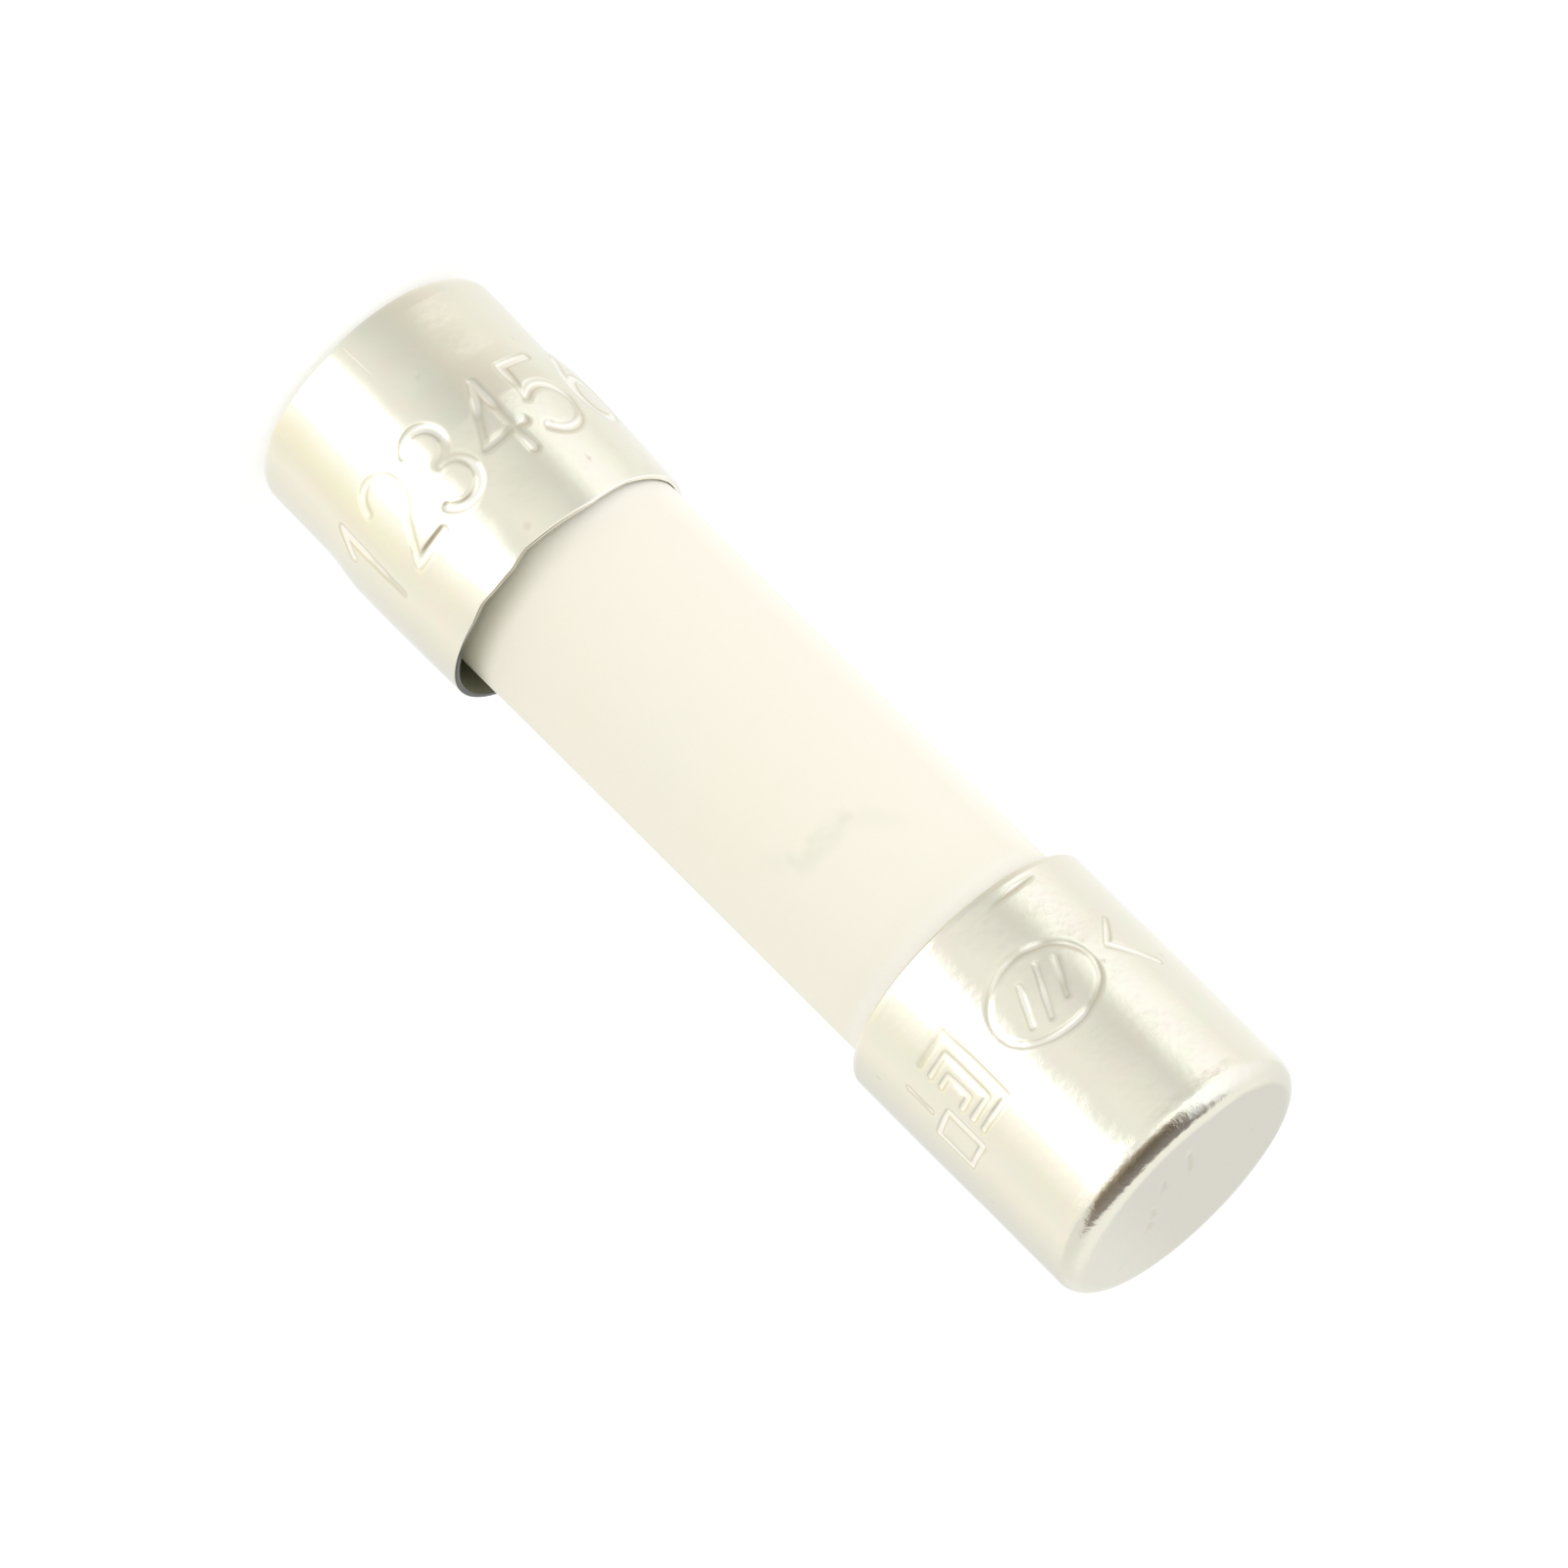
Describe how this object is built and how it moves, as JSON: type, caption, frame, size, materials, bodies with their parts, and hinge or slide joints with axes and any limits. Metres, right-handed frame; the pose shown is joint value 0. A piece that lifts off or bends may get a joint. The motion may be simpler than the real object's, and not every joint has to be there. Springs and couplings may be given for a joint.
{
  "type": "ceramic cartridge fuse",
  "caption": "Small cylindrical fuse: a pale ceramic tube between two drawn, nickel-plated end caps, one of them slightly cocked, standing on its end.",
  "frame": {"origin": "on the tube's axis, at the height of the lowest point of the lower cap that the fuse stands on", "axes": "+Z along the ceramic tube, from the lower cap to the upper cap; -Y towards the side that the picture shows; +X to the side where the lower cap stands off the tube"},
  "size_m": [0.0053, 0.0052, 0.0202],
  "materials": {
    "ceramic": "pale cream, satin, unglazed",
    "nickel_plate": "bright nickel plate on drawn brass, lightly scratched",
    "wire": "bare drawn copper",
    "sand": "packed fine quartz grain",
    "solder": "dull grey solder"
  },
  "bodies": {
    "root": {"ceramic_tube": "ceramic", "lower_cap": "nickel_plate", "upper_cap": "nickel_plate", "fuse_wire": "wire", "quartz_sand": "sand", "lower_solder": "solder", "upper_solder": "solder"}
  },
  "joints": []
}
